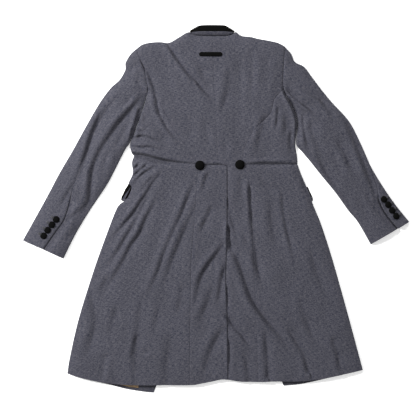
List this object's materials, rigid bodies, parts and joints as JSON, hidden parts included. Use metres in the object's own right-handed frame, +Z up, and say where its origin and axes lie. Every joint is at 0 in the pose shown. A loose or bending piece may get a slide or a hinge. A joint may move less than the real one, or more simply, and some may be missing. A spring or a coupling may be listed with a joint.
{
  "type": "long jacket laid flat",
  "caption": "Long tailored jacket laid flat on its front: waist seam, flared skirt with a back vent, velvet collar, covered buttons and open cuffs.",
  "frame": {"origin": "on the surface the jacket lies on, under the middle of its outline", "axes": "+X to the right of the jacket as it is seen from behind, +Y from hem to collar, +Z up from the surface"},
  "size_m": [1.0831, 1.03, 0.0209],
  "materials": {
    "wool": "fine dark grey-blue woven wool, matt",
    "velvet": "black cotton velvet, short pile",
    "lining": "bronze-brown satin"
  },
  "bodies": {
    "root": {"back_left": "wool", "back_right": "wool", "side_left": "wool", "side_right": "wool", "front_left": "wool", "front_right": "wool", "skirt_left": "wool", "skirt_right": "wool", "skirt_back_left": "wool", "skirt_back_right": "wool", "top_sleeve_left": "wool", "under_sleeve_left": "wool", "top_sleeve_right": "wool", "under_sleeve_right": "wool", "collar_edge": "wool", "flap_edge_left": "wool", "flap_edge_right": "wool", "collar_velvet": "velvet", "hanging_loop": "velvet", "hip_button_left": "velvet", "hip_button_right": "velvet", "cuff_button_left_1": "velvet", "cuff_button_left_2": "velvet", "cuff_button_left_3": "velvet", "cuff_button_left_4": "velvet", "cuff_button_right_1": "velvet", "cuff_button_right_2": "velvet", "cuff_button_right_3": "velvet", "cuff_button_right_4": "velvet", "flap_left": "velvet", "flap_right": "velvet", "lining_left": "lining"}
  },
  "joints": []
}
